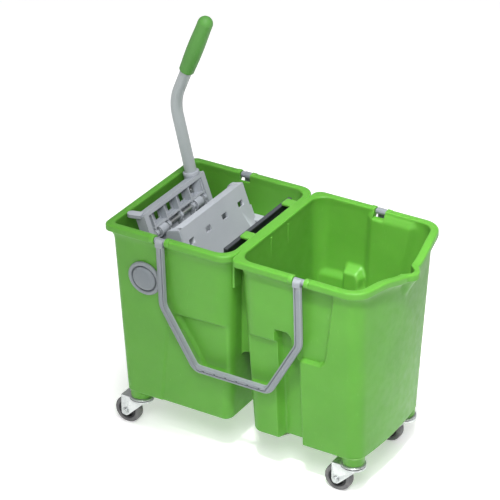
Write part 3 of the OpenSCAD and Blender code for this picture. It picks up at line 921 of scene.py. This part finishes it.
@dataclass
class Moulding:
    """The green moulding: both tubs, the webs between them, castor bosses and bail bosses."""

    hinge_y: float = 142.0
    hinge_z: float = 414.0
    boss_r: float = 7.5
    boss_w: float = 9.0

    def recesses(self) -> list[Recess]:
        """Lists the recesses of the side walls."""
        return [
            Recess([(-62, 178), (62, 178), (114, 276), (-114, 270)], 7.0),
            Recess([(126, 254), (166, 254), (174, 262), (194, 402), (126, 402)], 8.0, 4.0, 18.0),
            Recess([(82, 50), (124, 50), (124, 250), (110, 272), (110, 290), (104, 298), (82, 298)],
                   20.0, 5.0, 9.0),
            Recess([(-160, 50), (-20, 50), (-20, 240), (-134, 240)], 2.0, 3.0),
        ]

    def tubs(self) -> list[bpy.types.Object]:
        """Builds both tubs."""
        wringer = Tub("tub_wringer_side", (-237.0, -3.0), (-231.0, -20.0), (12.0, 30.0),
                      (13.0, 19.0), (0.0, 0.0), (-247.0, 4.0), (13.0, 28.0), 0.0,
                      (-212.0, -43.0), -134.5, recesses=self.recesses())
        rinse = Tub("tub_rinse_side", (11.0, 246.0), (25.0, 237.0), (30.0, 30.0), (19.0, 26.0),
                    (14.0, 6.0), (4.0, 256.0), (14.0, 38.0), 15.0, (47.0, 208.0), 134.5,
                    lip=True, recesses=self.recesses())
        return [wringer.build(), rinse.build()]

    def webs(self) -> bpy.types.Object:
        """Builds the webs that join the tubs inside their gap."""
        parts = []
        arch = [(3.0 + 18.0 * math.cos(math.radians(a)), 114.0 + 15.0 * math.sin(math.radians(a)))
                for a in range(180, -1, -15)]
        for side in Side:
            outline = [(13.5, 333.0), (-5.5, 333.0), (-16.5, 112.0)] + arch + [(22.5, 112.0)]
            parts.append(Bench.slab(outline, -4.0, 0.0, in_slope(side, 42.0)))
            low, high = sorted((side.value * 98.0, side.value * 121.0))
            parts.append(block((-6.0, low, 352.0), (-2.0, high, 410.0), 0.8))
        for y in (-28.2, 28.2):
            parts.append(block((-10.0, y - 1.75, 352.0), (16.0, y + 1.75, 410.0), 0.5))
        return Bench.gather("tub_webs", parts)

    def small_parts(self) -> list[bpy.types.Object]:
        """Builds the bosses of castors and bails, the ledges and the tabs."""
        stems = []
        for castor in Castor:
            spot = Matrix.Translation((*castor.value, 0.0))
            stems.append(Bench.lathe([(5.4, 62.0), (17.4, 62.0), (18.6, 62.4), (19.2, 63.6),
                                      (19.6, 75.0), (20.4, 77.2), (20.4, 79.0)], spot))
            stems.append(Bench.lathe([(21.0, 79.0), (18.6, 80.6), (18.0, 83.0), (17.6, 97.0),
                                      (17.0, 99.2), (15.2, 100.0), (0.5, 100.4)], spot))
        bosses = []
        for sx in (-1, 1):
            for side in Side:
                for e in (-1, 1):
                    x = sx * 134.5 + e * 15.0
                    spot = Matrix.Translation((x, side.value * self.hinge_y, self.hinge_z))
                    spot = spot @ Matrix.Rotation(math.pi / 2, 4, "Y")
                    w, r = self.boss_w / 2, self.boss_r
                    bosses.append(Bench.lathe([(3.1, -w), (r - 1.4, -w), (r - 0.4, 0.4 - w),
                                               (r, 1.4 - w), (r, w - 1.4), (r - 0.4, w - 0.4),
                                               (r - 1.4, w), (3.1, w)], spot))
        seats = []
        for side in Side:
            low, high = sorted((side.value * 113.0, side.value * 130.0))
            seats.append(block((-126.0, low, 334.0), (-42.0, high, 350.0), 3.0))
        tabs = [block((-25.0, y, 415.0), (-5.0, y + 22.0, 419.2), 3.0) for y in (-66.0, 72.0)]
        pieces = [Bench.gather("castor_bosses", stems), Bench.gather("bail_bosses", bosses),
                  Bench.gather("wringer_ledges", seats), Bench.gather("rail_tabs", tabs)]
        Bench.round_edges(pieces[2], 1.2)
        Bench.round_edges(pieces[3], 0.8)
        return pieces

    def build(self, finishes: Finishes) -> None:
        """Builds the moulding, dresses it and sets it on the bucket.

        Args:
            finishes: The shared finishes.
        """
        webs = self.webs()
        Bench.round_edges(webs, 0.8)
        for piece in self.tubs() + [webs] + self.small_parts():
            dress(piece, finishes.tub, "green moulding")
            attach(piece, "bucket")
            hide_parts("twin_tub")


@dataclass
class Cap:
    """A round cap pressed into a side wall: a rounded ring, a groove and a shallow dome."""

    side: Side
    x: float = -173.0
    z: float = 328.0

    def build(self, finishes: Finishes) -> None:
        """Builds the cap, dresses it and sets it in its wall.

        Args:
            finishes: The shared finishes.
        """
        frame = in_slope(self.side, -0.1) @ Matrix.Translation(
            (self.x, (self.z - 76.0) / math.cos(SLOPE), 0.0))
        profile = [(16.9, -7.0), (19.9, -7.0), (19.9, 0.0), (31.4, 0.0), (32.0, 0.7), (32.0, 2.8),
                   (31.4, 4.6), (29.9, 5.6), (27.7, 5.9), (25.8, 5.3), (25.0, 4.0), (24.8, 0.9),
                   (23.0, 0.9), (22.8, 3.2), (22.2, 5.0), (20.4, 6.6), (16.5, 8.1), (11.5, 9.0),
                   (6.0, 9.4), (0.2, 9.5)]
        name = "cap_" + self.side.name.lower()
        cap = Bench.gather(name + "_disc", [Bench.lathe(profile, frame, 72)], 50.0)
        dress(cap, finishes.bail, "round cap")
        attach(cap, "bucket")
        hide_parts(name)


@dataclass
class Bail:
    """A carrying bail: a channel-section hoop on two knuckles, stored hanging on its side."""

    side: Side
    hinge_y: float = 142.0
    hinge_z: float = 414.0
    leg_x: float = 133.0
    knuckle_x: float = 134.5
    width: float = 13.8
    thick: float = 7.4
    out: float = 1.5
    drop: float = 233.0
    bend_drop: float = 124.0
    grip_half: float = 72.0
    bend_leg: float = 30.0
    bend_grip: float = 16.0
    lean: float = 3.1
    wall: float = 2.2
    holes: int = 6
    hole_step: float = 22.0
    hole_r: float = 2.2

    def path(self) -> list[tuple[float, float, float]]:
        """Lists the hoop's middle line: X, height, and the direction's angle in radians."""
        t = math.atan2(self.leg_x - self.grip_half, self.drop - self.bend_drop)
        r1, r2 = self.bend_leg, self.bend_grip
        c1 = (self.leg_x - r1, r1 * math.tan(t / 2) - self.bend_drop)
        c2 = (self.grip_half - r2 * math.tan((math.pi / 2 - t) / 2), r2 - self.drop)
        half = [(self.leg_x, z, 0.0) for z in np.linspace(-5.0, c1[1], 14)[:-1]]
        half += [(c1[0] + r1 * math.cos(a), c1[1] - r1 * math.sin(a), a)
                 for a in np.linspace(0.0, t, 9)]
        p = (half[-1][0], half[-1][1])
        q = (c2[0] + r2 * math.cos(t), c2[1] - r2 * math.sin(t))
        half += [(p[0] + (q[0] - p[0]) * s, p[1] + (q[1] - p[1]) * s, t)
                 for s in np.linspace(0.0, 1.0, 10)[1:-1]]
        half += [(c2[0] + r2 * math.cos(a), c2[1] - r2 * math.sin(a), a)
                 for a in np.linspace(t, math.pi / 2, 9)]
        half += [(x, -self.drop, math.pi / 2) for x in np.linspace(half[-1][0], 0.0, 12)[1:]]
        other = [(-x, z, math.pi - a) for x, z, a in reversed(half[:-1])]
        return half + other

    def section(self, grip: float, reach: float) -> Flat:
        """Draws the channel section.

        Args:
            grip: 0 on the legs, 1 on the grip bar, where the bead is broad.
            reach: Depth of the hollow's mouth, as a share.

        Returns:
            Points: distance from the middle line, outer side positive, and depth outwards.
        """
        h, t, w = self.width / 2, self.thick, self.wall
        bead = -h + 3.2 + 4.6 * grip
        crown = 0.5 + 0.3 * grip
        return [(h, 0.0), (h, t - 3.4), (h - 0.5, t - 2.0), (h - 1.8, t - 1.2),
                (h - 3.4, t - 1.0), (bead + 2.2, t - 1.0), (bead + 1.4, t - 1.4),
                (bead + 1.1, t - 3.1), (bead + 0.1, t - 3.1), (bead - 0.2, t - 1.0),
                (bead - 1.0, t - crown / 3), ((bead - h) / 2, t), (-h + 1.2, t - 0.4),
                (-h + 0.4, t - 1.4), (-h, t - 3.0), (-h, 0.0), (-h + w, 0.0),
                (-h + w, (t - w - 2.0) * reach), (h - w, (t - w - 2.0) * reach), (h - w, 0.0)]

    def hoop(self) -> Shape:
        """Sweeps the section round the hoop.

        Returns:
            Its points and faces, before the hoop is set in place.
        """
        points: list[Point] = []
        path = self.path()
        for x, z, a in path:
            grip = float(ease(0.82, 1.0, np.array(math.sin(a))))
            deep = float(ease(-7.0, -16.0, np.array(z)))
            for o, d in self.section(grip, deep):
                points.append((x + o * math.cos(a), -self.out - d, z - o * math.sin(a)))
        return points, Bench.skin(len(path), len(self.section(0.0, 0.0)))

    def place(self) -> Matrix:
        """Gives the place of the hanging hoop."""
        spot = Matrix.Translation((0.0, -self.hinge_y, self.hinge_z)) @ Matrix.Rotation(
            math.radians(self.lean), 4, "X")
        return Matrix.Scale(-1.0, 4, (0.0, 1.0, 0.0)) @ spot if self.side is Side.BACK else spot

    def build(self, finishes: Finishes) -> None:
        """Builds the bail, dresses it and hangs it on its body.

        Args:
            finishes: The shared finishes.
        """
        body = "bail_" + self.side.name.lower()
        frame = self.place()
        points, faces = self.hoop()
        hoop = Bench.piece(body + "_hoop", [tuple(frame @ Vector(p)) for p in points], faces)
        drills = []
        for i in range(self.holes):
            x = (i - (self.holes - 1) / 2) * self.hole_step
            spot = frame @ Matrix.Translation((x, -25.0, -self.drop + 0.4))
            spot = spot @ Matrix.Rotation(-math.pi / 2, 4, "X")
            drill = [(self.hole_r, 0.0), (self.hole_r, 30.0)]
            tool = Bench.gather(f"drill_{i}", [Bench.lathe(drill, spot, 20)])
            drills.append(tool)
        Bench.carve(hoop, drills)
        flip = Matrix.Scale(-self.side.value, 4, (0.0, 1.0, 0.0))
        at_hinge = flip @ Matrix.Translation((0.0, -self.hinge_y, self.hinge_z))
        parts = []
        for sx in (-1, 1):
            turn = at_hinge @ Matrix.Translation((sx * self.knuckle_x, 0.0, 0.0)) @ Matrix.Rotation(
                math.pi / 2, 4, "Y")
            parts.append(Bench.lathe([(3.0, -17.4), (3.0, -9.9), (4.7, -9.9), (5.3, -9.5),
                                      (5.5, -8.7), (5.5, 8.7), (5.3, 9.5), (4.7, 9.9), (3.0, 9.9),
                                      (3.0, 17.4)], turn, 36))
            neck = [(0.0, -5.2), (0.0, 4.6), (-3.4, 4.6), (-6.4, 3.6), (-8.4, 1.6), (-9.2, -1.0),
                    (-9.3, -4.0), (-9.1, -9.0), (-1.9, -9.0), (-1.6, -5.2)]
            frame_neck = at_hinge @ Matrix(((0, 0, 1, sx * self.leg_x), (1, 0, 0, 0),
                                            (0, 1, 0, 0), (0, 0, 0, 1)))
            parts.append(Bench.slab(neck, -self.width / 2, self.width / 2, frame_neck))
        joints = Bench.gather(body + "_knuckles", parts)
        Bench.round_edges(joints, 0.7)
        for piece in (hoop, joints):
            dress(piece, finishes.bail, "grey moulded bail")
            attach(piece, body)
            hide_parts(body)


@dataclass
class Lever:
    """The wringer's bent lever tube, from its socket to the inside of its grip."""

    y: float = 80.0
    base: tuple[float, float] = (-210.0, 420.0)
    low: float = 13.7
    turn: float = 35.5
    low_len: float = 142.0
    high_len: float = 185.0
    bend_r: float = 84.0
    radius: float = 10.5
    sink: float = 44.0

    def path(self) -> list[tuple[float, float, float]]:
        """Lists the middle line in the lever's own plane: across, along and angle in radians."""
        turn = math.radians(self.turn)
        tangent = self.bend_r * math.tan(turn / 2)
        first = self.low_len - tangent
        line = [(0.0, z, 0.0) for z in np.linspace(-self.sink, first, 12)]
        line += [(self.bend_r * (1.0 - math.cos(a)), first + self.bend_r * math.sin(a), a)
                 for a in np.linspace(0.0, turn, 22)[1:]]
        x, z, _ = line[-1]
        far = self.high_len - tangent - 9.0
        line += [(x + far * s * math.sin(turn), z + far * s * math.cos(turn), turn)
                 for s in np.linspace(0.0, 1.0, 12)[1:]]
        return line

    def build(self, finishes: Finishes) -> None:
        """Builds the tube, dresses it and sets it on the moving jaw.

        Args:
            finishes: The shared finishes.
        """
        frame = Matrix.Translation((self.base[0], self.y, self.base[1])) @ Matrix.Rotation(
            -math.radians(self.low), 4, "Y")
        steps = 40
        points = []
        for x, z, a in self.path():
            for k in range(steps):
                b = 2.0 * math.pi * k / steps
                across = self.radius * math.cos(b)
                points.append(tuple(frame @ Vector((x + across * math.cos(a),
                                                    self.radius * math.sin(b),
                                                    z - across * math.sin(a)))))
        tube = Bench.piece("lever_bent_tube", points, Bench.skin(len(self.path()), steps), 60.0)
        collar = Bench.gather("lever_collar", [Bench.lathe(
            [(10.55, 3.0), (13.4, 3.4), (14.6, 4.2), (14.6, 8.6), (13.9, 9.6), (12.4, 10.0),
             (10.55, 10.0)], frame, 48)])
        for piece, finish, slot in ((tube, finishes.tube, "grey_tube"),
                                    (collar, finishes.jaw, "grey_plastic")):
            dress(piece, finish, "lever")
            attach(piece, "press_jaw")
            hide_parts("lever_tube")


@dataclass
class JawEnd:
    """The closed near end of the fixed jaw's turned-over top edge."""

    foot: Point = (-77.0, 0.0, 300.0)
    lean: float = 20.0
    top: float = 128.0
    near: float = -104.6
    thick: float = 5.0

    def build(self, finishes: Finishes) -> None:
        """Builds the rounded end, dresses it and sets it on the bucket.

        Args:
            finishes: The shared finishes.
        """
        frame = Matrix.Translation(self.foot) @ Matrix.Rotation(-math.radians(self.lean), 4, "Y")
        frame = frame @ Matrix(((1, 0, 0, 0), (0, 0, 1, 0), (0, 1, 0, 0), (0, 0, 0, 1)))
        turns = [math.radians(a) for a in range(70, 200, 10)]
        arc = [(-20.0 + 10.4 * math.cos(a), self.top - 8.0 + 10.4 * math.sin(a)) for a in turns]
        outline = [(0.4, self.top - 44.0), (0.4, self.top - 2.0), (-2.0, self.top + 0.4)] + arc + [
            (-27.0, self.top - 21.0), (-21.0, self.top - 27.0), (-10.0, self.top - 34.0)]
        plate = Bench.slab(outline, self.near, self.near + self.thick, frame)
        end = Bench.gather("fixed_jaw_end", [plate])
        Bench.round_edges(end, 1.6, 3)
        dress(end, finishes.jaw, "closed end of the fixed jaw")
        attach(end, "bucket")


@dataclass
class FrameParts:
    """The solids of the frame that keep their own shape and get rounded edges and a finish."""

    rounding: float = 0.6
    fine_rounding: float = 0.35

    def finish_of(self, node: str, finishes: Finishes) -> tuple[bpy.types.Material, str]:
        """Picks the finish of a node.

        Args:
            node: Name of the node.
            finishes: The shared finishes.

        Returns:
            The finish, and what the node is.
        """
        table = {
            "cap_front": (finishes.bail, "round cap"), "cap_back": (finishes.bail, "round cap"),
            "bail_front": (finishes.bail, "bail"), "bail_back": (finishes.bail, "bail"),
            "twin_tub": (finishes.tub, "green moulding"), "lever_tube": (finishes.tube, "lever"),
            "fixed_jaw": (finishes.jaw, "fixed jaw"), "moving_jaw": (finishes.jaw, "moving jaw"),
            "rod_hubs": (finishes.jaw, "hubs on the cross rod"),
            "hanger_frame": (finishes.rail, "dark hanger frame"),
            "lever_grip": (finishes.grip, "grip"),
        }
        if node in table:
            return table[node]
        if node.endswith("_hub"):
            return finishes.hub, "wheel centre"
        if node.endswith("_tyre"):
            return finishes.tread, "tread"
        return finishes.zinc, "zinc-plated steel"

    def build(self, nodes: dict[str, bpy.types.Object], finishes: Finishes,
              replaced: tuple[str, ...]) -> None:
        """Refines and dresses every node that isn't replaced.

        Args:
            nodes: The frame's objects.
            finishes: The shared finishes.
            replaced: Nodes that other pieces stand for.
        """
        for name, obj in nodes.items():
            finish, what = self.finish_of(name, finishes)
            dress(obj, finish, what)
            if name not in replaced:
                fine = name.endswith(("_race", "_stem", "screws"))
                Bench.refine(obj, self.fine_rounding if fine else self.rounding)


@dataclass
class Studio:
    """Pale floor, soft light and the camera."""

    aim: Point = (-0.05234, 0.0, 0.356063)
    turn: float = 30.81
    rise: float = 28.674
    distance: float = 4.6
    lens: float = 193.456
    key_power: float = 78.0
    top_power: float = 64.0
    fill_power: float = 1150.0
    fill_angle: float = 7.3
    lamp_width: float = 1.2
    sky: float = 0.34
    floor_glow: float = 0.4

    def camera(self) -> None:
        """Sets up the camera."""
        a, e = math.radians(self.turn), math.radians(self.rise)
        back = Vector((math.sin(a) * math.cos(e), -math.cos(a) * math.cos(e), math.sin(e)))
        data = bpy.data.cameras.new("studio_camera")
        data.lens = self.lens
        data.sensor_width = 36.0
        data.clip_end = 50.0
        camera = bpy.data.objects.new("studio_camera", data)
        camera.location = Vector(self.aim) + back * self.distance
        camera.rotation_euler = (math.pi / 2 - e, 0.0, a)
        bpy.context.scene.collection.objects.link(camera)
        bpy.context.scene.camera = camera

    def floor(self) -> None:
        """Lays the floor."""
        n = Nodes("floor_pale")
        n.wire(n.blend(n.noise(3.0, 2.0), (0.86, 0.86, 0.86), (0.9, 0.9, 0.9)), "Base Color")
        n.shader.inputs["Roughness"].default_value = 0.9
        n.shader.inputs["Emission Color"].default_value = (1.0, 1.0, 1.0, 1.0)
        n.shader.inputs["Emission Strength"].default_value = self.floor_glow
        reach = 14000.0
        floor = Bench.piece("studio_floor", [(-reach, -reach, 0.0), (reach, -reach, 0.0),
                                             (reach, reach, 0.0), (-reach, reach, 0.0)],
                            [(0, 1, 2, 3)])
        floor.data.materials.append(n.finish)

    def lamp(self, name: str, spot: Point, size: float, power: float) -> None:
        """Hangs one soft light that looks at the bucket.

        Args:
            name: Its name.
            spot: Its place in metres.
            size: Its width in metres.
            power: Its power in watts.
        """
        data = bpy.data.lights.new(name, "AREA")
        data.shape = "SQUARE"
        data.size = size
        data.energy = power
        lamp = bpy.data.objects.new(name, data)
        lamp.location = spot
        away = Vector(spot) - Vector((0.0, 0.0, 0.3))
        lamp.rotation_euler = away.to_track_quat("Z", "Y").to_euler()
        bpy.context.scene.collection.objects.link(lamp)

    def spot(self, name: str, spot: Point, aim: Point, degrees: float, power: float) -> None:
        """Hangs a narrow soft light that reaches down into the rinse tub.

        Args:
            name: Its name.
            spot: Its place in metres.
            aim: The point it looks at, in metres.
            degrees: Width of its cone.
            power: Its power in watts.
        """
        data = bpy.data.lights.new(name, "SPOT")
        data.spot_size = math.radians(degrees)
        data.spot_blend = 0.7
        data.shadow_soft_size = 0.25
        data.energy = power
        lamp = bpy.data.objects.new(name, data)
        lamp.location = spot
        lamp.rotation_euler = (Vector(spot) - Vector(aim)).to_track_quat("Z", "Y").to_euler()
        bpy.context.scene.collection.objects.link(lamp)

    def build(self) -> None:
        """Builds the studio."""
        self.camera()
        self.floor()
        world = bpy.data.worlds.new("studio_white")
        world.use_nodes = True
        world.node_tree.nodes["Background"].inputs["Color"].default_value = (1.0, 1.0, 1.0, 1.0)
        world.node_tree.nodes["Background"].inputs["Strength"].default_value = self.sky
        bpy.context.scene.world = world
        bpy.context.scene.view_settings.view_transform = "Standard"
        self.lamp("key_light", (1.5, -2.6, 3.2), self.lamp_width, self.key_power)
        self.lamp("top_light", (0.5, -0.5, 3.4), self.lamp_width, self.top_power)
        self.spot("fill_light", (0.75, -1.3, 2.9), (0.135, 0.03, 0.33), self.fill_angle,
                  self.fill_power)


def main() -> None:
    """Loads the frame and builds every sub-assembly in order."""
    logging.basicConfig(level=logging.INFO, format="%(name)s: %(message)s")
    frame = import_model()
    Studio().build()
    finishes = Finishes()
    replaced = ("twin_tub", "cap_front", "cap_back", "bail_front", "bail_back", "lever_tube")
    FrameParts().build(frame["nodes"], finishes, replaced)
    Moulding().build(finishes)
    for side in Side:
        Cap(side).build(finishes)
        Bail(side).build(finishes)
    Lever().build(finishes)
    JawEnd().build(finishes)


if __name__ == "__main__":
    main()
